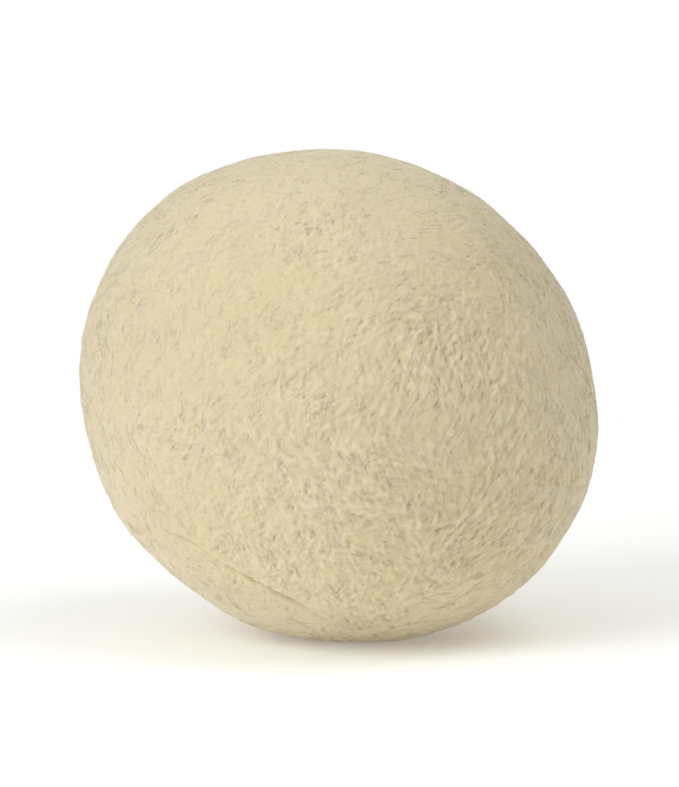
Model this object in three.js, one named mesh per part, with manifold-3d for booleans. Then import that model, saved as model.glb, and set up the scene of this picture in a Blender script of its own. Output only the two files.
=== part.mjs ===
// Wool dryer ball, about 75 mm across, built up the way the real one is: a rolled
// core wad, four wraps of carded wool over it, and a thin outer wrap. Each wrap is
// two strips laid crosswise, shaped like the two halves of a tennis ball's cover,
// and each is turned so that its laps don't lie over those of the wrap below.
// Millimetres, +Z up. The ball stands on a small flat at Z = 0.

import * as THREE from 'three';
import { mergeVertices } from 'three/addons/utils/BufferGeometryUtils.js';
import Module from 'manifold-3d';

const wasm = await Module();
wasm.setup();

// The finished ball is a little longer than it is wide, and lies tilted
const LENGTH = 79;
const WIDTH = 74.8;
const THICKNESS = 71;
const DIP = THREE.MathUtils.degToRad(32.6);   // the long axis dips towards +X
const PRESSED_FLAT = 0.5;                     // depth of the resting flat

// How the wool is built up, at the ball's mean radius
const MEAN_RADIUS = 37.5;
const CORE_RADIUS = 13.5;
const WRAPS = 4;
const OUTER_WRAP = 3.6;
const WRAP = (MEAN_RADIUS - OUTER_WRAP - CORE_RADIUS) / WRAPS;
const LAYER_GAP = 0.45;                       // room left between one wrap and the next
const LAP_GAP = 0.5;                          // room left between a wrap's two strips

// The lap between two strips is where the saddle z = LAP_WAVE (x^2 - y^2) / r cuts
// the ball, and these turn it for the outer wrap and from each wrap to the next
const LAP_WAVE = 2;
const OUTER_TURN = new THREE.Euler(
  THREE.MathUtils.degToRad(-93),
  THREE.MathUtils.degToRad(27),
  THREE.MathUtils.degToRad(23),
);
const NEXT_TURN = new THREE.Quaternion().setFromAxisAngle(
  new THREE.Vector3(2, 1, 1).normalize(),
  THREE.MathUtils.degToRad(55),
);

// Fineness of the faceted surfaces: divisions of an icosahedron's edge, and of a saddle's side
const CORE_FINENESS = 3;
const SMALL_WRAP_FINENESS = 4;
const LARGE_WRAP_FINENESS = 5;
const OUTER_FINENESS = 8;
const SADDLE_CELLS = 10;

const ball = new THREE.Group();

function wool(color, roughness) {
  return new THREE.MeshStandardMaterial({ color, roughness, metalness: 0 });
}

function outerWool(color) {
  return wool(color, 0.95);
}

function wrapWool(color) {
  return wool(color, 1);
}

function coreWool() {
  return wool(0xcfc3a6, 1);
}

// A closed geometry as a solid that can be cut
function solid(geometry) {
  geometry.deleteAttribute('normal');
  geometry.deleteAttribute('uv');
  const merged = mergeVertices(geometry);
  return new wasm.Manifold(new wasm.Mesh({
    numProp: 3,
    vertProperties: new Float32Array(merged.attributes.position.array),
    triVerts: new Uint32Array(merged.index.array),
  }));
}

// A solid as a geometry again
function shape(body) {
  const { vertProperties, triVerts } = body.getMesh();
  const geometry = new THREE.BufferGeometry();
  geometry.setAttribute('position', new THREE.BufferAttribute(vertProperties, 3));
  geometry.setIndex(new THREE.BufferAttribute(triVerts, 1));
  geometry.computeVertexNormals();
  return geometry;
}

function addPiece(name, geometry, material) {
  const mesh = new THREE.Mesh(geometry, material);
  mesh.name = name;
  ball.add(mesh);
}

// Height of the ball's middle: half its upright extent, less the pressed flat
const MIDDLE = Math.hypot(LENGTH * Math.sin(DIP), THICKNESS * Math.cos(DIP)) / 2 - PRESSED_FLAT;

// Unit sphere to tilted ball of the given mean radius
function stretch(radius) {
  const share = radius / MEAN_RADIUS / 2;
  const size = new THREE.Vector3(LENGTH, WIDTH, THICKNESS).multiplyScalar(share);
  const tilt = new THREE.Quaternion().setFromEuler(new THREE.Euler(0, DIP, 0));
  return new THREE.Matrix4().compose(new THREE.Vector3(0, 0, MIDDLE), tilt, size);
}

function roundBody(radius, fineness) {
  return new THREE.IcosahedronGeometry(1, fineness).applyMatrix4(stretch(radius));
}

// Everything under the saddle, its top moved along its own normal by half the lap gap
function underSaddle(radius, turn, side) {
  const span = radius * 2.3;
  const geometry = new THREE.BoxGeometry(span, span, span * 2, SADDLE_CELLS, SADDLE_CELLS, 1);
  const place = geometry.attributes.position;
  const point = new THREE.Vector3();
  const normal = new THREE.Vector3();
  const bend = LAP_WAVE / radius;
  for (let i = 0; i < place.count; i += 1) {
    point.fromBufferAttribute(place, i);
    if (point.z > 0) {
      point.z = bend * (point.x * point.x - point.y * point.y);
      normal.set(-2 * bend * point.x, 2 * bend * point.y, 1).normalize();
      point.addScaledVector(normal, side * LAP_GAP / 2);
    } else {
      point.z = -span;
    }
    place.setXYZ(i, point.x, point.y, point.z);
  }
  geometry.applyQuaternion(turn);
  geometry.translate(0, 0, MIDDLE);
  return solid(geometry);
}

function halfSpaceAboveFloor() {
  const span = LENGTH * 2;
  return solid(new THREE.BoxGeometry(span, span, span).translate(0, 0, span / 2));
}

// One wrap of the given inner and outer radius, as its two strips
function strips(inner, outer, fineness, turn) {
  const outside = solid(roundBody(outer, fineness));
  const inside = solid(roundBody(inner, fineness - 1));
  const shell = outside.subtract(inside).intersect(halfSpaceAboveFloor());
  return [
    shell.subtract(underSaddle(outer, turn, 1)),
    shell.intersect(underSaddle(outer, turn, -1)),
  ].map(shape);
}

function addCoreWad() {
  addPiece('core_wad', shape(solid(roundBody(CORE_RADIUS, CORE_FINENESS))), coreWool());
}

function addWrap(number, turn) {
  const inner = CORE_RADIUS + (number - 1) * WRAP + LAYER_GAP;
  const outer = CORE_RADIUS + number * WRAP;
  const fineness = number > WRAPS / 2 ? LARGE_WRAP_FINENESS : SMALL_WRAP_FINENESS;
  const [long, cross] = strips(inner, outer, fineness, turn);
  addPiece(`wrap_${number}_long_strip`, long, wrapWool(0xd9ccac));
  addPiece(`wrap_${number}_cross_strip`, cross, wrapWool(0xd2c4a2));
}

function addOuterWrap(turn) {
  const [back, front] = strips(MEAN_RADIUS - OUTER_WRAP + LAYER_GAP, MEAN_RADIUS, OUTER_FINENESS, turn);
  addPiece('outer_wrap_back', back, outerWool(0xdccfae));
  addPiece('outer_wrap_front', front, outerWool(0xe2d6b8));
}

const turn = new THREE.Quaternion().setFromEuler(OUTER_TURN);
addOuterWrap(turn);
for (let number = WRAPS; number > 0; number -= 1) {
  turn.premultiply(NEXT_TURN);
  addWrap(number, turn);
}
addCoreWad();

export default ball;
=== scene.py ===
# %% [markdown]
# # A felted wool dryer ball
#
# A wool dryer ball is made of nothing but sheep's wool. A small wad is rolled tight,
# strips of carded wool are wound round it crosswise, wrap after wrap, and the whole is
# wetted, soaped and tumbled until the fibres lock into one firm felt ball.
#
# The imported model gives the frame: eleven plain solids, one for each strip and the wad.
# This lesson grows a felt surface over each of them, in the same place and size, and
# then lays loose fibres on the outside. Felt has no edges or flats to model by hand, so
# every shape here is a formula worked out on whole arrays of points.

# %% Load the frame and note its box
import math

import bpy
import numpy as np
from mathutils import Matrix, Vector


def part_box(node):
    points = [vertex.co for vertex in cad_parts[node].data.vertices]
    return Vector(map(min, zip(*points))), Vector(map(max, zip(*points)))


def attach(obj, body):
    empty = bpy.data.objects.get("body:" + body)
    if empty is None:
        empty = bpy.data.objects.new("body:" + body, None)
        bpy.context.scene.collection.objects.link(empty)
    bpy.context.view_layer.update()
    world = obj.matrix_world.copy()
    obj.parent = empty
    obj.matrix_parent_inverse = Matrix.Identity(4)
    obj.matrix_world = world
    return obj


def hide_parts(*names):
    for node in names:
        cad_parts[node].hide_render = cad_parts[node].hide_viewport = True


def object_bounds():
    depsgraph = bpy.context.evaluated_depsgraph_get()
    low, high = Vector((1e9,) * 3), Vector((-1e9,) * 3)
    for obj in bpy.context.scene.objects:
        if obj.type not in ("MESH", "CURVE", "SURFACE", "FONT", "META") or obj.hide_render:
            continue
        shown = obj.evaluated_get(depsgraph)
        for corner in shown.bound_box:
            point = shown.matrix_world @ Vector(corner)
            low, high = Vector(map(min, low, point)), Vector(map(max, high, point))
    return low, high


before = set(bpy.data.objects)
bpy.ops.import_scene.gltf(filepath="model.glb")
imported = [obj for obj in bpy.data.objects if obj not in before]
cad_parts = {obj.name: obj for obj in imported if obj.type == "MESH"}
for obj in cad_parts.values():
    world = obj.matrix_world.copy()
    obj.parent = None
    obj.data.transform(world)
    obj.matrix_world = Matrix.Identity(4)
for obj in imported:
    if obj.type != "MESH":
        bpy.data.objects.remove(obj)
cad_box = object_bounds()
MM = 0.001
print("CAD box, mm:", [[round(c / MM, 1) for c in corner] for corner in cad_box])

# %% [markdown]
# ## The camera first
#
# The ball is looked at from just above the table, seven degrees up, with a long lens
# that keeps its outline true. The camera aims at the middle of the model's box. Its
# lens could be a fixed number, but here it follows from the share of the picture's
# width that the ball should fill. The sensor's width spans the picture's longer side,
# which is its height.

# %% Camera
PICTURE = (679, 787)
CAMERA_DISTANCE = 0.7
CAMERA_UP = math.radians(7)
FILLS_WIDTH = 0.76
SENSOR = 36.0

box_low, box_high = (np.array(corner) for corner in cad_box)
middle = (box_low + box_high) / 2
picture_height = (box_high[0] - box_low[0]) / FILLS_WIDTH * PICTURE[1] / PICTURE[0]
camera_data = bpy.data.cameras.new("camera")
camera_data.sensor_width = SENSOR
camera_data.lens = SENSOR * CAMERA_DISTANCE / picture_height
camera = bpy.data.objects.new("camera", camera_data)
camera.location = middle + CAMERA_DISTANCE * np.array([0, -math.cos(CAMERA_UP), math.sin(CAMERA_UP)])
camera.rotation_euler = (math.radians(90) - CAMERA_UP, 0, 0)
bpy.context.scene.collection.objects.link(camera)
bpy.context.scene.camera = camera
print("lens, mm:", round(camera_data.lens))

# %% [markdown]
# ## The ball that the CAD solids describe
#
# Every wrap is the same tilted, slightly squeezed ball at a smaller size. Its shape can
# be read from the solids: an ellipsoid is all the points p for which p . Q . p = 1, and
# the six numbers of Q come from one least-squares fit. The core wad lies in the middle,
# so its box gives the centre. A strip has points on an outer and an inner surface. A
# first fit runs between the two, which tells them apart, and a second fit uses only the
# outer ones. The flat that the ball rests on isn't part of the ellipsoid, so points near
# the table are left out.

# %% Fit the ball
NEAR_TABLE = 1 * MM


def node_points(node):
    """All vertices of a CAD node, as rows of x, y, z in metres."""
    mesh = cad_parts[node].data
    points = np.empty(3 * len(mesh.vertices), dtype=np.float32)
    mesh.vertices.foreach_get("co", points)
    return points.reshape(-1, 3).astype(float)


def fit_ellipsoid(points):
    """Q of the ellipsoid p . Q . p = 1 that passes nearest to the points."""
    x, y, z = points.T
    terms = np.stack([x * x, y * y, z * z, 2 * x * y, 2 * x * z, 2 * y * z], axis=1)
    q = np.linalg.lstsq(terms, np.ones(len(points)), rcond=None)[0]
    return np.array([[q[0], q[3], q[4]], [q[3], q[1], q[5]], [q[4], q[5], q[2]]])


def share_of(q, points):
    """How far out each point lies: the root of p . Q . p, which is 1 on the ellipsoid."""
    return np.sqrt(np.einsum("ij,jk,ik->i", points, q, points))


centre = np.mean(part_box("core_wad"), axis=0)
skin_points = np.concatenate([node_points("outer_wrap_back"), node_points("outer_wrap_front")])
skin_points = skin_points[skin_points[:, 2] > NEAR_TABLE] - centre
between = fit_ellipsoid(skin_points)
BALL = fit_ellipsoid(skin_points[share_of(between, skin_points) > 1])
half_axes = 1 / np.sqrt(np.linalg.eigvalsh(BALL))
MEAN_RADIUS = float(np.prod(half_axes) ** (1 / 3))
print("half axes, mm:", np.round(half_axes / MM, 2), "mean radius, mm:", round(MEAN_RADIUS / MM, 2))


def ball_radius(direction):
    """Distance from the centre to the smooth ball along unit directions: 1 / root(n . Q . n)."""
    return 1 / share_of(BALL, direction)


# %% [markdown]
# ## A grid that covers a ball
#
# Felt has no poles, so a globe's grid of meridians would crowd at two points. A cube's
# six square grids, blown up to a sphere, have cells of nearly one size everywhere. The
# grid lines are spaced by equal angles rather than equal lengths, which evens them out.

# %% Sphere from a cube
def sphere_grid(cells):
    """Unit directions, and the four corners of each face, of a cube blown up to a sphere.

    Each cube face has two parameters u and v that run from -1 to 1, and its point
    (tan(45 u), tan(45 v), 1), divided by its own length, is the direction. Points that
    two faces share are found by their whole-number grid places and kept once.
    """
    step = 2 * np.arange(cells + 1) - cells
    u, v = np.meshgrid(step, step, indexing="ij")
    w = np.full_like(u, cells)
    places = []
    for first in range(3):
        places.append(np.stack(np.roll([u, v, w], first, axis=0), axis=-1))
        places.append(np.stack(np.roll([v, u, -w], first, axis=0), axis=-1))
    lattice, shared = np.unique(np.reshape(places, (-1, 3)), axis=0, return_inverse=True)
    cube = np.tan(lattice / cells * math.pi / 4)
    direction = cube / np.linalg.norm(cube, axis=1, keepdims=True)
    number = shared.reshape(6, cells + 1, cells + 1)
    corners = [number[:, :-1, :-1], number[:, 1:, :-1], number[:, 1:, 1:], number[:, :-1, 1:]]
    return direction, np.stack(corners, axis=-1).reshape(-1, 4)


SKIN_CELLS = 192
direction, quads = sphere_grid(SKIN_CELLS)
cell = math.pi / 2 * MEAN_RADIUS / SKIN_CELLS
print("skin grid:", len(direction), "points,", len(quads), "cells of", round(cell / MM, 2), "mm")


# %% [markdown]
# ## Soft uneven relief
#
# Hand-rolled felt is never smooth: it has broad swells from winding, pats the size of a
# fingertip, and a fine matted grain. Each is a random field of one size. Adding up many
# cosine waves of nearly the same length, in random directions, gives exactly that.
#
# The finest relief is the mat itself, where fibres make short ridges. Noise from a table
# of random numbers is quicker than waves at that size. Averaging it along the way that
# the fibres lie smears it into ridges, as combing would.

# %% Random fields
WAVE_LENGTHS = (0.75, 1.35)                       # shortest and longest wave, as shares of the size


def swell(points, size, waves, seed):
    """Random relief of one size, with a spread of 1.

    The sum over many plane waves of cos(2 pi p . k + phase), where every k has a random
    direction and a length near 1 / size, divided by the root of half their number.
    """
    rng = np.random.default_rng(seed)
    heading = rng.normal(size=(waves, 3))
    heading /= np.linalg.norm(heading, axis=1, keepdims=True)
    length = size * rng.uniform(*WAVE_LENGTHS, size=(waves, 1))
    phase = rng.uniform(0, 2 * math.pi, size=waves)
    return np.cos(2 * math.pi * points @ (heading / length).T + phase).sum(axis=1) / math.sqrt(waves / 2)


NOISE_CELLS = 96
COMB_STEPS = 1.5                                  # samples in every ridge width along a ridge


def value_noise(points, size, table):
    """Random heights with a spread near 1, from random numbers at the corners of small cubes.

    In a cube of the given size the eight corner numbers are blended with the weights
    f f (3 - 2 f) of the point's place f in it, so the relief has no creases. The table
    of numbers repeats after NOISE_CELLS cubes.
    """
    place = points / size
    low = np.floor(place).astype(np.int64)
    part = place - low
    part = part * part * (3 - 2 * part)
    low_number = low % NOISE_CELLS
    high_number = (low + 1) % NOISE_CELLS
    height = 0.0
    for corner in range(8):
        upper = [corner >> axis & 1 for axis in range(3)]
        number = [high_number[:, axis] if up else low_number[:, axis] for axis, up in enumerate(upper)]
        weight = [part[:, axis] if up else 1 - part[:, axis] for axis, up in enumerate(upper)]
        height = height + table[number[0], number[1], number[2]] * weight[0] * weight[1] * weight[2]
    return height


def combed(points, along, length, size, seed):
    """Ridges that run along the given headings: noise averaged over a short stretch of them.

    The mean of the noise at p + t along, for t from -length / 2 to length / 2, scaled so
    that its spread is 1.
    """
    table = np.random.default_rng(seed).normal(size=(NOISE_CELLS,) * 3).astype(np.float32)
    stretch = np.linspace(-length / 2, length / 2, round(length / size * COMB_STEPS) + 1)
    height = sum(value_noise(points + t * along, size, table) for t in stretch)
    return height / height.std()


def toward(x, y, z):
    """A unit direction from its three parts."""
    return np.array([x, y, z]) / math.sqrt(x * x + y * y + z * z)


def spot(direction, place, reach):
    """A soft round patch: exp(-(angle from place / reach)^2), 1 in its middle."""
    angle = np.arccos(np.clip(direction @ place, -1, 1))
    return np.exp(-(angle / math.radians(reach)) ** 2)


# %% [markdown]
# ## Where the outer strips lap
#
# The two outer strips meet along the curve where a saddle cuts the ball, like the seam
# of a tennis ball. Felting hides most of it, and only at the lower left did two short
# lengths stay open as a thin crease. The saddle's height above or below a point, divided
# by how fast it changes along the surface, is the distance to the lap, so a crease can be
# drawn along it at any width.

# %% The lap between two strips
LAP_WAVE = 2.0
OUTER_TURN = tuple(math.radians(angle) for angle in (-93, 27, 23))


def turned(angles):
    """Rotation matrix of turns about X, then the new Y, then the new Z."""
    a, b, c = angles
    about_x = np.array([[1, 0, 0], [0, math.cos(a), -math.sin(a)], [0, math.sin(a), math.cos(a)]])
    about_y = np.array([[math.cos(b), 0, math.sin(b)], [0, 1, 0], [-math.sin(b), 0, math.cos(b)]])
    about_z = np.array([[math.cos(c), -math.sin(c), 0], [math.sin(c), math.cos(c), 0], [0, 0, 1]])
    return about_x @ about_y @ about_z


def lap_slope(direction, frame_turn):
    """Height over the saddle and its slope along the surface, at unit directions.

    In the saddle's own frame the height is z - wave (x^2 - y^2), and its slope is
    (-2 wave x, 2 wave y, 1) with the part along the direction itself taken away.
    """
    own = direction @ frame_turn
    height = own[:, 2] - LAP_WAVE * (own[:, 0] ** 2 - own[:, 1] ** 2)
    slope = np.stack([-2 * LAP_WAVE * own[:, 0], 2 * LAP_WAVE * own[:, 1], np.ones(len(own))], axis=1)
    slope = slope @ frame_turn.T
    slope -= np.einsum("ij,ij->i", slope, direction)[:, None] * direction
    return height, slope


def lap_angle(direction, frame_turn):
    """Signed angle from the lap in radians, positive on the first strip's side."""
    height, slope = lap_slope(direction, frame_turn)
    return height / np.linalg.norm(slope, axis=1)


def snap_to_lap(direction, frame_turn, angle=0.0):
    """Directions moved sideways, in three steps, to a set angle from the lap."""
    for _ in range(3):
        height, slope = lap_slope(direction, frame_turn)
        steepness = np.linalg.norm(slope, axis=1)
        miss = height / steepness - angle
        direction = direction - slope * (miss / steepness)[:, None]
        direction /= np.linalg.norm(direction, axis=1, keepdims=True)
    return direction


outer_turn = turned(OUTER_TURN)
on_back = lap_angle(direction, outer_turn)[quads].mean(axis=1) > 0
print("cells on the back strip:", int(on_back.sum()), "on the front strip:", int((~on_back).sum()))

# %% [markdown]
# ## Which way the fibres lie
#
# Winding and rolling comb the outer fibres roughly one way, and the direction wanders
# over the ball. A random vector with a steady upward lean, flattened onto the surface,
# gives that heading. A map of headings drawn by hand could do the same, but it would
# have to be joined up round the back, which a formula does by itself.

# %% Grain direction
LEAN = np.array([0.5, 0.1, 1.0])
WANDER = 0.42
WANDER_SIZE = 45 * MM
EDDY = 0.32
EDDY_SIZE = 9 * MM


def length_one(vectors):
    """The same directions with length one."""
    return vectors / np.linalg.norm(vectors, axis=1, keepdims=True)


def along_surface(vectors, direction):
    """The part of each vector that lies along the surface, with length one."""
    return length_one(vectors - np.einsum("ij,ij->i", vectors, direction)[:, None] * direction)


def grain(direction):
    """Unit vectors along the surface: a steady lean plus broad and small random fields."""
    points = direction * MEAN_RADIUS
    broad = np.stack([swell(points, WANDER_SIZE, waves=12, seed=seed) for seed in (11, 12, 13)], axis=1)
    small = np.stack([swell(points, EDDY_SIZE, waves=16, seed=seed) for seed in (14, 15, 16)], axis=1)
    return along_surface(LEAN + WANDER * broad + EDDY * small, direction)


def turned_on_surface(along, direction, angle):
    """Vectors turned about the surface normal: t cos a + (n x t) sin a."""
    return along * np.cos(angle)[:, None] + np.cross(direction, along) * np.sin(angle)[:, None]


# %% [markdown]
# ## The felt skin's shape
#
# The skin is the smooth ball plus its relief. The broad parts are swells and pats all
# over, a few bulges and hollows, short folds, and the open crease. Over them lies the mat:
# short ridges of felted fibres that cross each other. It could be left to a bump in the
# material, but then it would be missing from the outline and from the mesh itself. Real
# ridges are as narrow as a tenth of a millimetre, and these are drawn three times
# coarser, so that they show. Where the ball rests, its weight presses the felt flat, as in
# the CAD solid.

# %% Swells, bulges and folds
SWELLS = [                                        # height, size, waves, seed
    (0.13 * MM, 26 * MM, 24, 1),
    (0.045 * MM, 9 * MM, 40, 2),
    (0.02 * MM, 3.2 * MM, 60, 3),
]
BULGES = [                                        # middle, reach in degrees, height
    (toward(-0.84, -0.10, -0.52), 22, 1.1 * MM),
    (toward(-0.40, -0.10, -0.90), 16, 0.9 * MM),
    (toward(0.45, -0.05, 0.90), 24, 0.45 * MM),
    (toward(-0.27, -0.10, 0.96), 15, -0.55 * MM),
    (toward(-0.86, -0.45, 0.25), 16, -0.3 * MM),
    (toward(0.30, 0.85, 0.35), 24, -0.5 * MM),
    (toward(-0.45, 0.80, -0.30), 20, -0.4 * MM),
]
FOLDS = [                                         # start, end, height, width
    (toward(-0.66, -0.62, -0.40), toward(-0.18, -0.70, -0.70), 0.3 * MM, 2.2 * MM),
    (toward(-0.45, -0.20, 0.87), toward(0.09, -0.29, 0.95), -0.16 * MM, 0.55 * MM),
    (toward(-0.77, -0.60, 0.22), toward(-0.79, -0.57, -0.24), -0.12 * MM, 1.3 * MM),
    (toward(0.05, -0.74, -0.67), toward(0.17, -0.77, -0.62), 0.12 * MM, 0.35 * MM),
]


def fold(direction, start, end, width):
    """1 along the great circle from start to end, fading over width to its sides and ends.

    The formula is exp(-(distance to the side / width)^2 - (share of the half length)^4).
    """
    pole = np.cross(start, end)
    pole /= np.linalg.norm(pole)
    half_way = (start + end) / np.linalg.norm(start + end)
    half_length = math.acos(float(start @ end)) / 2
    across = np.arcsin(np.clip(direction @ pole, -1, 1)) * MEAN_RADIUS
    along = np.arctan2(direction @ np.cross(pole, half_way), direction @ half_way) / half_length
    return np.exp(-(across / width) ** 2 - along ** 4)


# %% The open crease
CREASES = [                                       # middle, reach in degrees, depth share, sideways shift
    (toward(-0.255, -0.675, -0.692), 11, 1.0, -0.1 * MM),
    (toward(-0.568, -0.658, -0.495), 11, 0.42, -0.9 * MM),
]
CREASE_DEPTH = 1.3 * MM
CREASE_WIDTH = 0.42 * MM
CREASE_WOBBLE = 0.22 * MM
WOBBLE_SIZE = 6 * MM
CREASE_EVEN, CREASE_UNEVEN = 0.8, 0.25            # its steady depth, and how much the depth varies
UNEVEN_SIZE = 3 * MM


def crease_profile(direction):
    """The open lengths of the lap: near 1 in the bottom of the crease and 0 away from it.

    Each length is exp(-(angle from its middle / reach)^4) along the lap, and
    exp(-((distance from the lap - shift) / width)^2) across it. The crease wobbles to
    the sides, and its depth comes and goes.
    """
    points = direction * MEAN_RADIUS
    wobble = CREASE_WOBBLE * swell(points, WOBBLE_SIZE, waves=20, seed=6)
    across = lap_angle(direction, outer_turn) * MEAN_RADIUS + wobble
    profile = 0.0
    for place, reach, share, shift in CREASES:
        angle = np.arccos(np.clip(direction @ place, -1, 1)) / math.radians(reach)
        profile = profile + share * np.exp(-angle ** 4 - ((across - shift) / CREASE_WIDTH) ** 2)
    return profile * (CREASE_EVEN + CREASE_UNEVEN * swell(points, UNEVEN_SIZE, waves=20, seed=5))


# %% The mat of ridges
RIDGES = 0.062 * MM
RIDGE_LENGTH = 1.25 * MM
RIDGE_SIZE = 0.32 * MM
RIDGE_CROSSING = math.radians(24)
FIRST_RIDGE_SEED = 21
PIT_SHARE = 0.15
LOOSENESS = 0.34
LOOSE_CHANGE = 0.16
LOOSE_CHANGE_SIZE = 20 * MM
LOOSE_PATCH = 1.3                                 # how much looser the patch at the front is
LOOSE_PLACE = toward(0.30, -0.90, -0.31)
LOOSE_REACH = 48                                  # degrees
LOOSE_LIMITS = (0.2, 1.7)


def ridge_height(direction):
    """The mat of crossing ridges, with a spread near 1: two combed fields, and deeper pits.

    Below -1 the height is pulled further down by a share of (height + 1) squared. All of
    it is multiplied by the looseness, which is low where the felt is tight, wanders a
    little, and is highest in one patch at the front.
    """
    points = direction * MEAN_RADIUS
    along = grain(direction)
    crossing = [turned_on_surface(along, direction, np.full(len(along), turn))
                for turn in (-RIDGE_CROSSING, RIDGE_CROSSING)]
    height = sum(combed(points, heading, RIDGE_LENGTH, RIDGE_SIZE, FIRST_RIDGE_SEED + number)
                 for number, heading in enumerate(crossing)) / math.sqrt(2)
    height -= PIT_SHARE * np.minimum(height + 1, 0) ** 2
    looseness = LOOSENESS + LOOSE_CHANGE * swell(points, LOOSE_CHANGE_SIZE, waves=16, seed=23)
    looseness += LOOSE_PATCH * spot(direction, LOOSE_PLACE, LOOSE_REACH)
    return height * np.clip(looseness, *LOOSE_LIMITS)


# %% The whole skin
NEARLY_LEVEL = 1e-6                               # keeps level directions from dividing by nothing


def skin_relief(direction):
    """Height of the felt over the smooth ball, in metres: the sum of all the parts above."""
    points = direction * MEAN_RADIUS
    relief = sum(height * swell(points, size, waves, seed) for height, size, waves, seed in SWELLS)
    relief += RIDGES * ridge_height(direction)
    for place, reach, height in BULGES:
        relief += height * spot(direction, place, reach)
    for start, end, height, width in FOLDS:
        relief += height * fold(direction, start, end, width)
    relief -= CREASE_DEPTH * crease_profile(direction)
    return relief


def skin_radius(direction):
    """Distance from the centre to the felt: ball radius plus relief, cut off level at the table."""
    radius = ball_radius(direction) + skin_relief(direction)
    down = np.maximum(-direction[:, 2], NEARLY_LEVEL)
    return np.minimum(radius, centre[2] / down)


print("relief, mm:", np.round(np.percentile(skin_relief(direction), [0, 50, 100]) / MM, 2))


# %% [markdown]
# ## From a grid to one closed strip
#
# A strip takes the grid cells on its side of the lap. The points along its ragged edge
# are slid onto the lap itself, so that two strips meet without a step. The same cells,
# turned over and moved inwards, make the underside, and a band of faces along the edge
# joins the two. The result is one closed solid, as the CAD strip is. A Solidify modifier
# could give the thickness too, but it can't follow the inner surface of the CAD strip.

# %% Strip solids
def edge_loop(cells):
    """The directed edges that only one cell has, as pairs of point numbers."""
    start = cells.ravel()
    end = np.roll(cells, -1, axis=1).ravel()
    low, high = np.minimum(start, end), np.maximum(start, end)
    _, first, count = np.unique(low * (high.max() + 1) + high, return_index=True, return_counts=True)
    lone = first[count == 1]
    return start[lone], end[lone]


def closed_strip(cells, top, underside):
    """Points and faces of the solid between two surfaces that share the same cells."""
    used, renumbered = np.unique(cells, return_inverse=True)
    cells = renumbered.reshape(-1, 4)
    start, end = edge_loop(cells)
    depth = len(used)
    band = np.stack([end, start, start + depth, end + depth], axis=1)
    faces = np.concatenate([cells, cells[:, ::-1] + depth, band])
    return np.concatenate([top[used], underside[used]]), faces


def mesh_piece(name, points, faces, material, sharp=None, ridge=None, smooth=True):
    """A mesh object at the origin, from arrays of points and of faces with equally many sides.

    Edges between two points that are both marked in sharp are left unsmoothed. The ridge
    heights, if there are any, are kept as an attribute of the points, for the material,
    which paints shade and highlight by them.
    """
    mesh = bpy.data.meshes.new(name)
    sides = faces.shape[1]
    mesh.vertices.add(len(points))
    mesh.vertices.foreach_set("co", points.astype(np.float32).ravel())
    mesh.loops.add(faces.size)
    mesh.loops.foreach_set("vertex_index", faces.astype(np.int32).ravel())
    mesh.polygons.add(len(faces))
    mesh.polygons.foreach_set("loop_start", np.arange(0, faces.size, sides, dtype=np.int32))
    mesh.update(calc_edges=True)
    mesh.materials.append(material)
    if smooth:
        mesh.shade_smooth()
    else:
        mesh.shade_flat()
    if sharp is not None:
        ends = np.empty(2 * len(mesh.edges), dtype=np.int32)
        mesh.edges.foreach_get("vertices", ends)
        marks = mesh.attributes.new("sharp_edge", "BOOLEAN", "EDGE")
        marks.data.foreach_set("value", sharp[ends].reshape(-1, 2).all(axis=1))
    if ridge is not None:
        heights = mesh.attributes.new("ridge", "FLOAT", "POINT")
        heights.data.foreach_set("value", ridge.astype(np.float32))
    piece = bpy.data.objects.new(name, mesh)
    bpy.context.scene.collection.objects.link(piece)
    print(name, "has", len(points), "points and", len(faces), "faces")
    return piece


# %% [markdown]
# ## Wool, to the eye
#
# Undyed wool is cream, with warmer and greyer locks mixed in by the carding. It is
# matte, and light that enters it comes out a little way off, so its shadows are soft.
# The glow of the table and the air stands in for that here. The fibre ends catch light
# at a grazing angle, which is what sheen is for. The matted fibres give short strokes
# that run roughly one way and cross each other.
#
# The colour could be painted on the mesh. Here it is mixed from noises in the object's
# own coordinates, each at the real size of what it stands for, and from the height of
# the ridges, which the mesh carries as an attribute. Part of the colour is painted light:
# the hollows, the gaps of the mat and the open crease get a painted shade, darker and
# warmer than the crests, which get a painted highlight, because light gets lost between
# the fibres.

# %% Colour and node helpers
def linear(hex_colour):
    """An sRGB hex colour as linear red, green, blue and alpha."""
    parts = [int(hex_colour[i:i + 2], 16) / 255 for i in (1, 3, 5)]
    return [c / 12.92 if c <= 0.04045 else ((c + 0.055) / 1.055) ** 2.4 for c in parts] + [1.0]


def add(tree, kind, inputs=None, **settings):
    """Adds a node, sets its settings, and sets or links its inputs."""
    node = tree.nodes.new(kind)
    for name, value in settings.items():
        setattr(node, name, value)
    for name, value in (inputs or {}).items():
        if isinstance(value, bpy.types.NodeSocket):
            tree.links.new(value, node.inputs[name])
        else:
            node.inputs[name].default_value = value
    return node


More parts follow.
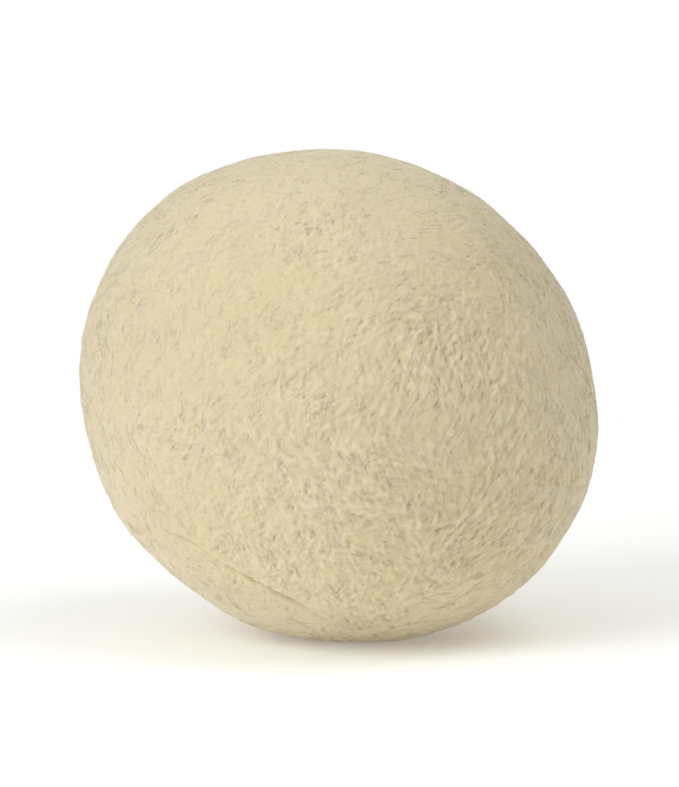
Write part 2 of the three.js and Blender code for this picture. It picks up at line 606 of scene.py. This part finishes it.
# %% Felted wool material
COLOUR_A, COLOUR_B, COLOUR_RESULT = 6, 7, 2       # places of a Mix node's colour sockets
PATCH_SIZE = 26 * MM                              # carded locks that felted in together
LOCK_SIZE = 5 * MM                                # one lock of fibres
MAT_SIZE = 0.9 * MM                               # gaps between crossing fibres
FUZZ_SIZE = 0.25 * MM                             # single fibres, drawn eight times coarser to show
MAT_DEPTH = 0.06 * MM
FUZZ_DEPTH = 0.05 * MM
NOISE_DETAIL = 3.0
# Shares of painted light in the wool's colour: painted shade in the mat's gaps and in the grooves, and a
# painted highlight on the crests.
GAP_SHADE = 0.35
GROOVE_SHADE = 0.35
CREST_LIGHT = 0.35
# Painted shade in the open crease: its share, its dark colour, how far the crease lowers the ridge
# attribute to call for it, and the ridge heights where it starts and where it is full.
CREASE_SHADE = 0.85
PAINTED_CREASE_COLOUR = "#8E7F58"
CREASE_MARK = 9                                   # how far the crease lowers the ridge attribute
CREASE_RANGE = (-3.5, -8.0)                       # ridge heights where its shade starts and is full
WOOL_SHEEN = {"Sheen Weight": 0.55, "Sheen Roughness": 0.4}


def felted_wool(name, pale, warm, grey, painted_hollow_shade, painted_crest_light):
    """Wet-felted undyed wool: matte, cream with warm and grey locks, with painted shade in
    its hollows and crease and a painted highlight on its crests.

    Each layer mixes one colour over the ones before it. Its share rises in a straight
    line from 0, where what decides it is at start, to most, where it is at full.
    """
    material = bpy.data.materials.new(name)
    material.use_nodes = True
    tree = material.node_tree
    tree.nodes.clear()
    place = add(tree, "ShaderNodeTexCoord").outputs["Object"]
    patches, locks, mat, fuzz = [
        add(tree, "ShaderNodeTexNoise", {"Vector": place, "Scale": 1 / size,
                                         "Detail": NOISE_DETAIL}).outputs["Fac"]
        for size in (PATCH_SIZE, LOCK_SIZE, MAT_SIZE, FUZZ_SIZE)]
    ridge = add(tree, "ShaderNodeAttribute", attribute_name="ridge").outputs["Fac"]

    layers = [                                    # what decides, start, full, most, colour
        (patches, 0.35, 0.65, 1.0, warm),
        (locks, 0.5, 0.7, 0.5, grey),
        # Painted shade in the mat's gaps and in the grooves.
        (mat, 0.5, 0.32, GAP_SHADE, painted_hollow_shade),
        (ridge, -0.2, -2.5, GROOVE_SHADE, painted_hollow_shade),
        # Painted highlight on the crests.
        (ridge, 0.3, 2.5, CREST_LIGHT, painted_crest_light),
        # Painted shade in the open crease.
        (ridge, *CREASE_RANGE, CREASE_SHADE, PAINTED_CREASE_COLOUR),
    ]
    colour = linear(pale)
    for decides, start, full, most, tone in layers:
        share = add(tree, "ShaderNodeMapRange", {"Value": decides, "From Min": start, "From Max": full,
                                                 "To Max": most})
        mixed = add(tree, "ShaderNodeMix", {"Factor": share.outputs["Result"], COLOUR_A: colour,
                                            COLOUR_B: linear(tone)}, data_type="RGBA")
        colour = mixed.outputs[COLOUR_RESULT]

    fine = add(tree, "ShaderNodeBump", {"Height": fuzz, "Distance": FUZZ_DEPTH})
    matted = add(tree, "ShaderNodeBump", {"Height": mat, "Distance": MAT_DEPTH,
                                          "Normal": fine.outputs["Normal"]})
    wool = add(tree, "ShaderNodeBsdfPrincipled", {
        "Base Color": colour, "Normal": matted.outputs["Normal"], "Roughness": 0.78,
        "Specular IOR Level": 0.5, "Sheen Tint": linear("#FFFCF5"), **WOOL_SHEEN})
    add(tree, "ShaderNodeOutputMaterial", {"Surface": wool.outputs["BSDF"]})
    return material


# The outer felt has been handled and rolled, so it is a tone deeper than the carded wool inside.
# In both, the last two colours are painted light: a painted shade for hollows, gaps and grooves, and a
# painted highlight for crests.
outer_wool = felted_wool("felted_cream_wool", "#DACAA8", "#D7C69F", "#D1C1A2", "#C2B28A", "#EDE1C7")
inner_wool = felted_wool("carded_wool_wrap", "#EADFC4", "#DFD0A8", "#CFC1A2", "#BCAB82", "#F0E7CF")
print("materials:", outer_wool.name, inner_wool.name)

# %% [markdown]
# ## The outer wrap, back and front
#
# The last wrap is the clean wool that shows. Its two strips are felted into each other,
# so their skins meet without a gap along the lap. Each could be cut from one whole ball,
# but making it from the shared grid keeps the two edges exactly the same. The underside
# stays where the CAD strip has it, except over the flat that the ball rests on, where
# it moves inwards so that the wool is never thinner than the pressed wall.

# %% Outer wrap
PRESSED_WALL = 2.0 * MM


def outer_strip(name, node, cells):
    """One outer strip: the skin above, and below it the inner surface of the CAD strip."""
    edge = np.unique(np.stack(edge_loop(cells)))
    places = direction.copy()
    places[edge] = snap_to_lap(places[edge], outer_turn)
    inner = share_of(BALL, node_points(node) - centre).min()
    top = skin_radius(places)
    under = np.minimum(ball_radius(places) * inner, top - PRESSED_WALL)
    points, faces = closed_strip(cells, places * top[:, None] + centre, places * under[:, None] + centre)
    used = np.unique(cells)
    rim = np.isin(used, edge)
    # The ridge attribute carries the ridge heights, lowered in the open crease, for the material's painted
    # shade and painted highlight.
    ridge = np.tile((ridge_height(places) - CREASE_MARK * crease_profile(places))[used], 2)
    piece = mesh_piece(name, points, faces, outer_wool, sharp=np.tile(rim, 2), ridge=ridge)
    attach(piece, "root")
    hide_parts(node)


outer_strip("outer_back_felt", "outer_wrap_back", quads[on_back])
outer_strip("outer_front_felt", "outer_wrap_front", quads[~on_back])

# %% [markdown]
# ## The inner wraps
#
# Under the outer wrap lie four thicker ones, each turned so that its laps miss those
# above. Nobody sees them until the ball is cut open, so they could stay plain, but a
# cutaway shows them. Each strip is the same kind of solid, on a coarser grid. The CAD
# vertices tell how far out its two surfaces lie. Carded wool thins out towards its edge,
# so the thickness falls off there along a quarter circle.

# %% Inner wraps
WRAP_CELL = 1.3 * MM
LAP_GAP = 0.5 * MM
EDGE_RUN = 3.0 * MM
EDGE_THICKNESS = 0.35
WRAP_RELIEF = 0.09 * MM
WRAP_RELIEF_SIZE = 4 * MM
WRAP_RELIEF_DROP = 1.5
DEEPEST = 3
NEXT_TURN_AXIS = toward(2, 1, 1)
NEXT_TURN = math.radians(55)


def turn_about(axis, angle):
    """Rotation matrix about an axis: I + sin a K + (1 - cos a) K K, where K v is axis x v."""
    x, y, z = axis
    k = np.array([[0, -z, y], [z, 0, -x], [-y, x, 0]])
    return np.eye(3) + math.sin(angle) * k + (1 - math.cos(angle)) * k @ k


def wrap_strip(name, node, frame_turn, side):
    """One strip of an inner wrap: side is 1 above the saddle and -1 under it.

    Its half thickness is that of the CAD strip times e + (1 - e) root(1 - (1 - s)^2),
    where e is the edge's share and s goes from 0 at the edge to 1 over the edge run. Its
    relief only goes inwards, so that the strip stays clear of the one above.
    """
    shares = share_of(BALL, node_points(node) - centre)
    inner, outer = shares.min(), shares.max()
    radius = outer * MEAN_RADIUS
    direction, quads = sphere_grid(round(math.pi / 2 * radius / WRAP_CELL))
    cells = quads[lap_angle(direction, frame_turn)[quads].mean(axis=1) * side > 0]
    edge = np.unique(np.stack(edge_loop(cells)))
    gap = side * LAP_GAP / 2 / radius
    direction[edge] = snap_to_lap(direction[edge], frame_turn, gap)
    inland = np.clip((np.abs(lap_angle(direction, frame_turn)) - abs(gap)) * radius / EDGE_RUN, 0, 1)
    fullness = EDGE_THICKNESS + (1 - EDGE_THICKNESS) * np.sqrt(1 - (1 - inland) ** 2)
    half = (outer - inner) / 2 * fullness
    base = ball_radius(direction)
    lumps = swell(direction * radius, WRAP_RELIEF_SIZE, waves=50, seed=31) - WRAP_RELIEF_DROP
    relief = WRAP_RELIEF * np.clip(lumps, -DEEPEST, 0)
    top = direction * (base * ((outer + inner) / 2 + half) + relief)[:, None] + centre
    under = direction * (base * ((outer + inner) / 2 - half))[:, None] + centre
    points, faces = closed_strip(cells, top, under)
    piece = mesh_piece(name, points, faces, inner_wool)
    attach(piece, "root")
    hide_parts(node)


frame_turn = outer_turn
for number in (4, 3, 2, 1):
    frame_turn = turn_about(NEXT_TURN_AXIS, NEXT_TURN) @ frame_turn
    wrap_strip(f"wrap_{number}_long_felt", f"wrap_{number}_long_strip", frame_turn, 1)
    wrap_strip(f"wrap_{number}_cross_felt", f"wrap_{number}_cross_strip", frame_turn, -1)

# %% [markdown]
# ## The core wad
#
# Winding starts on a wad rolled tight between the palms. It is a lumpy little ball with
# no seam. A remeshed and sculpted sphere would do, but the same grid and random field as
# before give it cells of one size and lumps that repeat on every run.

# %% Core wad
CORE_CELLS = 26
CORE_RELIEF = 0.14 * MM
CORE_LUMP_SIZE = 5 * MM
CORE_RELIEF_DROP = 1


def core_wad():
    """The rolled wad: the core's ball, dented by a random field that only goes inwards."""
    shares = share_of(BALL, node_points("core_wad") - centre)
    direction, quads = sphere_grid(CORE_CELLS)
    points = direction * shares.max() * MEAN_RADIUS
    lumps = swell(points, CORE_LUMP_SIZE, waves=40, seed=32) - CORE_RELIEF_DROP
    radius = ball_radius(direction) * shares.max() + CORE_RELIEF * np.clip(lumps, -DEEPEST, 0)
    piece = mesh_piece("core_wad_felt", direction * radius[:, None] + centre, quads, inner_wool)
    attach(piece, "root")
    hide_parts("core_wad")


core_wad()

# %% [markdown]
# ## The nap
#
# The outermost fibres lie flat in a mat, in locks of a few fibres that share a heading,
# and cross each other at all angles. Each fibre is a thin three-sided tube whose path
# walks over the surface: at every step it turns a little and moves on. Its ends are
# tucked into the felt, and a few are left standing. None crosses the open crease. Real
# fibres are 0.03 mm thick, too fine to show, so these are drawn a few times thicker, and
# there are fewer of them. Blender's hair could grow them too, but a mesh keeps them in
# the exported model.

# %% Fibre paths
FIBRE_POINTS = 4
FIBRES_PER_LOCK = 6
FIBRE_LENGTH = (1.6 * MM, 4.0 * MM)
FIBRE_WIDTH = (0.07 * MM, 0.12 * MM)
FIBRE_FLATNESS = 0.5
LOCK_SPREAD = 0.25 * MM
LOCK_TURN = math.radians(30)
FIBRE_TURN = math.radians(9)
CURL = math.radians(16)
LOCK_STAGGER = 3                                  # fibres of a lock spread this much further along it
TUCKED = -0.05 * MM
FIBRE_RISE = (-0.03 * MM, 0.04 * MM)
LOOSE_SHARE = 0.03
LOOSE_LIFT = 0.35 * MM
LEAST_LIFT = 0.2
BEND_LIFT = 0.35                                  # share of the lift at the point before a loose end
CREASE_CLEAR = 0.15


def fibre_paths(locks, rng):
    """Points, sideways and upward vectors of every fibre, walked step by step on the skin.

    Each step adds the heading times the step's length to the direction, and then turns
    the heading by the fibre's own curl and a little more. All fibres step together.
    """
    count = locks * FIBRES_PER_LOCK
    lock = length_one(rng.normal(size=(locks, 3)))
    lock_along = turned_on_surface(grain(lock), lock, rng.normal(0, LOCK_TURN, locks))
    lock = np.repeat(lock, FIBRES_PER_LOCK, axis=0)
    along = np.repeat(lock_along, FIBRES_PER_LOCK, axis=0)
    aside = rng.normal(0, LOCK_SPREAD, (count, 1)) * np.cross(lock, along)
    ahead = rng.normal(0, LOCK_STAGGER * LOCK_SPREAD, (count, 1)) * along
    direction = length_one(lock + (aside + ahead) / MEAN_RADIUS)
    along = turned_on_surface(along_surface(along, direction), direction, rng.normal(0, FIBRE_TURN, count))
    step = rng.uniform(*FIBRE_LENGTH, count) / (FIBRE_POINTS - 1) / MEAN_RADIUS
    curl = rng.normal(0, CURL, count)
    rise = rng.uniform(*FIBRE_RISE, (FIBRE_POINTS, count))
    rise[0] = TUCKED
    rise[-1] = TUCKED
    loose = rng.random(count) < LOOSE_SHARE
    lift = rng.uniform(LEAST_LIFT, 1, count) * LOOSE_LIFT
    rise[-1] = np.where(loose, lift, rise[-1])
    rise[-2] = np.where(loose, lift * BEND_LIFT, rise[-2])
    path = []
    for _ in range(FIBRE_POINTS):
        path.append((direction, along))
        direction = length_one(direction + along * step[:, None])
        turn = curl + rng.normal(0, CURL / 2, count)
        along = turned_on_surface(along_surface(along, direction), direction, turn)
    direction = np.stack([d for d, _ in path])
    along = np.stack([a for _, a in path])
    radius = skin_radius(direction.reshape(-1, 3)).reshape(FIBRE_POINTS, count)
    points = direction * (radius + rise)[..., None] + centre
    middles = (direction[1:] + direction[:-1]).reshape(-1, 3) / 2
    in_crease = crease_profile(np.concatenate([direction.reshape(-1, 3), middles])) > CREASE_CLEAR
    kept = ~in_crease.reshape(-1, count).any(axis=0)
    return points[:, kept], np.cross(direction, along)[:, kept], direction[:, kept]


def fibre_tubes(points, aside, upward, width):
    """Low three-sided tubes: a flat underside as wide as the fibre, and a ridge above its middle.

    The corners lie at -w, at +w and at the middle raised by w times the flatness. The half
    width w tapers to a third at both ends, and one triangle closes each end.
    """
    steps, count, _ = points.shape
    taper = np.where(np.isin(np.arange(steps), (0, steps - 1)), 1 / 3, 1.0)
    w = taper[:, None, None] * width[None, :, None] / 2
    corner = [points + w * upward * FIBRE_FLATNESS, points - w * aside, points + w * aside]
    ring = np.stack(corner, axis=2)
    tube = ring.transpose(1, 0, 2, 3).reshape(-1, 3)
    tube[:, 2] = np.maximum(tube[:, 2], 0)
    first = np.arange(count)[:, None, None] * steps * 3
    row = np.arange(steps - 1)[None, :, None] * 3
    side = np.arange(3)[None, None, :]
    low = first + row + side
    low_next = first + row + (side + 1) % 3
    walls = np.stack([low, low_next, low_next + 3, low + 3], axis=-1).reshape(-1, 4)
    walls = np.concatenate([walls[:, [0, 1, 2]], walls[:, [0, 2, 3]]])
    start = first[:, 0, 0]
    caps = np.concatenate([np.stack([start + 2, start + 1, start], axis=1),
                           np.stack([start, start + 1, start + 2], axis=1) + 3 * (steps - 1)])
    return tube, np.concatenate([walls, caps])


# %% [markdown]
# ## Six shades of fibre
#
# A fleece is never one colour, so carded wool holds paler and greyer fibres side by side.
# A colour attribute could vary them inside one mesh. One piece for each shade is simpler,
# and it keeps every material a plain one.

# %% Nap pieces
LOCKS_OF_EACH = 1000
NAP_TONES = [
    ("nap_pale", "#E3D4B8"),
    ("nap_cream", "#DFD0AF"),
    ("nap_ivory", "#DED1B7"),
    ("nap_warm", "#DBCBA7"),
    ("nap_straw", "#D8C8A6"),
    ("nap_grey", "#D3C5AA"),
]
FIRST_NAP_SEED = 100


def fibre_wool(name, colour):
    """One shade of wool fibre: scaly, so matte, with the soft edge glow of fine hair."""
    material = bpy.data.materials.new(name + "_wool")
    material.use_nodes = True
    inputs = material.node_tree.nodes["Principled BSDF"].inputs
    finish = {"Base Color": linear(colour), "Roughness": 0.75, "Specular IOR Level": 0.5, **WOOL_SHEEN}
    for socket, value in finish.items():
        inputs[socket].default_value = value
    return material


for number, (name, colour) in enumerate(NAP_TONES):
    rng = np.random.default_rng(FIRST_NAP_SEED + number)
    points, aside, upward = fibre_paths(LOCKS_OF_EACH, rng)
    width = rng.uniform(*FIBRE_WIDTH, points.shape[1])
    tube, faces = fibre_tubes(points, aside, upward, width)
    piece = mesh_piece(name, tube, faces, fibre_wool(name, colour), smooth=False)
    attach(piece, "root")

# %% [markdown]
# ## The table
#
# Small products are often shown on a light table, which glows a little from below, so
# that their shadows stay faint. A plain sheet with a weak glow does the same. A horizon
# would draw the eye, and a curved backdrop would hide it only from one side, so the
# sheet fades to clear air all round instead.

# %% Table
TABLE_REACH = 6.0
TABLE_GLOW = 0.18
FLOOR_FADE = (0.06, 0.35)                         # metres from the middle where it fades, and is clear


def pale_table():
    """White table whose colour gives way to clear air with distance, so no horizon shows."""
    material = bpy.data.materials.new("pale_table")
    material.use_nodes = True
    tree = material.node_tree
    tree.nodes.clear()
    place = add(tree, "ShaderNodeTexCoord").outputs["Object"]
    distance = add(tree, "ShaderNodeVectorMath", {0: place}, operation="LENGTH").outputs["Value"]
    fade = add(tree, "ShaderNodeMapRange", {"Value": distance, "From Min": FLOOR_FADE[0],
                                            "From Max": FLOOR_FADE[1]}, interpolation_type="SMOOTHSTEP")
    matte = add(tree, "ShaderNodeBsdfPrincipled", {
        "Base Color": linear("#F7F7F6"), "Roughness": 1.0, "Specular IOR Level": 0.0,
        "Emission Color": (1.0, 1.0, 1.0, 1.0), "Emission Strength": TABLE_GLOW})
    clear = add(tree, "ShaderNodeBsdfTransparent")
    mix = add(tree, "ShaderNodeMixShader", {0: fade.outputs["Result"], 1: matte.outputs["BSDF"],
                                            2: clear.outputs["BSDF"]})
    add(tree, "ShaderNodeOutputMaterial", {"Surface": mix.outputs["Shader"]})
    return material


table_corners = TABLE_REACH * np.array([[-1.0, -1, 0], [1, -1, 0], [1, 1, 0], [-1, 1, 0]])
floor = mesh_piece("table", table_corners, np.array([[0, 1, 2, 3]]), pale_table())

# %% [markdown]
# ## Light and air
#
# A broad key light from the left front models the ball and brings out its grain, because
# it strikes the right side at a low angle. Two weaker lights from above fill the top. A
# sun or a bare lamp would be simpler, but its hard shadows would make felt look like
# plaster. The air round the ball is a weak warm light too, while the camera sees it white.

# %% Lights
LIGHTS = [                                        # name, place, size, watts, tint
    ("key", (-1.0, -0.95, 0.72), 0.9, 12.8, (0.88, 0.94, 1.0)),
    ("overhead", (0.6, -0.3, 1.2), 0.8, 5.0, (0.95, 0.98, 1.0)),
    ("ceiling", (-0.7, -0.4, 1.4), 1.6, 4.4, (0.95, 0.98, 1.0)),
]


def soft_light(name, place, size, power, tint):
    """A square area light aimed at the ball."""
    data = bpy.data.lights.new(name, "AREA")
    data.size = size
    data.energy = power
    data.color = tint
    light = bpy.data.objects.new(name, data)
    light.location = place
    away = np.array(place) - middle
    light.rotation_euler = (math.atan2(math.hypot(away[0], away[1]), away[2]), 0,
                            math.atan2(away[1], away[0]) + math.pi / 2)
    bpy.context.scene.collection.objects.link(light)


for row in LIGHTS:
    soft_light(*row)
print("lights:", [row[0] for row in LIGHTS])

# %% Air
AIR_LIGHT = 0.45
AIR_TINT = (1.0, 0.98, 0.92, 1.0)
WHITE = (1.0, 1.0, 1.0, 1.0)
world = bpy.data.worlds.new("studio")
world.use_nodes = True
tree = world.node_tree
tree.nodes.clear()
seen = add(tree, "ShaderNodeLightPath").outputs["Is Camera Ray"]
strength = add(tree, "ShaderNodeMapRange", {"Value": seen, "To Min": AIR_LIGHT, "To Max": 1.0})
tint = add(tree, "ShaderNodeMix", {"Factor": seen, COLOUR_A: AIR_TINT, COLOUR_B: WHITE}, data_type="RGBA")
air = add(tree, "ShaderNodeBackground", {"Color": tint.outputs[COLOUR_RESULT],
                                         "Strength": strength.outputs["Result"]})
add(tree, "ShaderNodeOutputWorld", {"Surface": air.outputs["Background"]})
bpy.context.scene.world = world
bpy.context.scene.view_settings.view_transform = "Standard"
print("air light:", AIR_LIGHT)
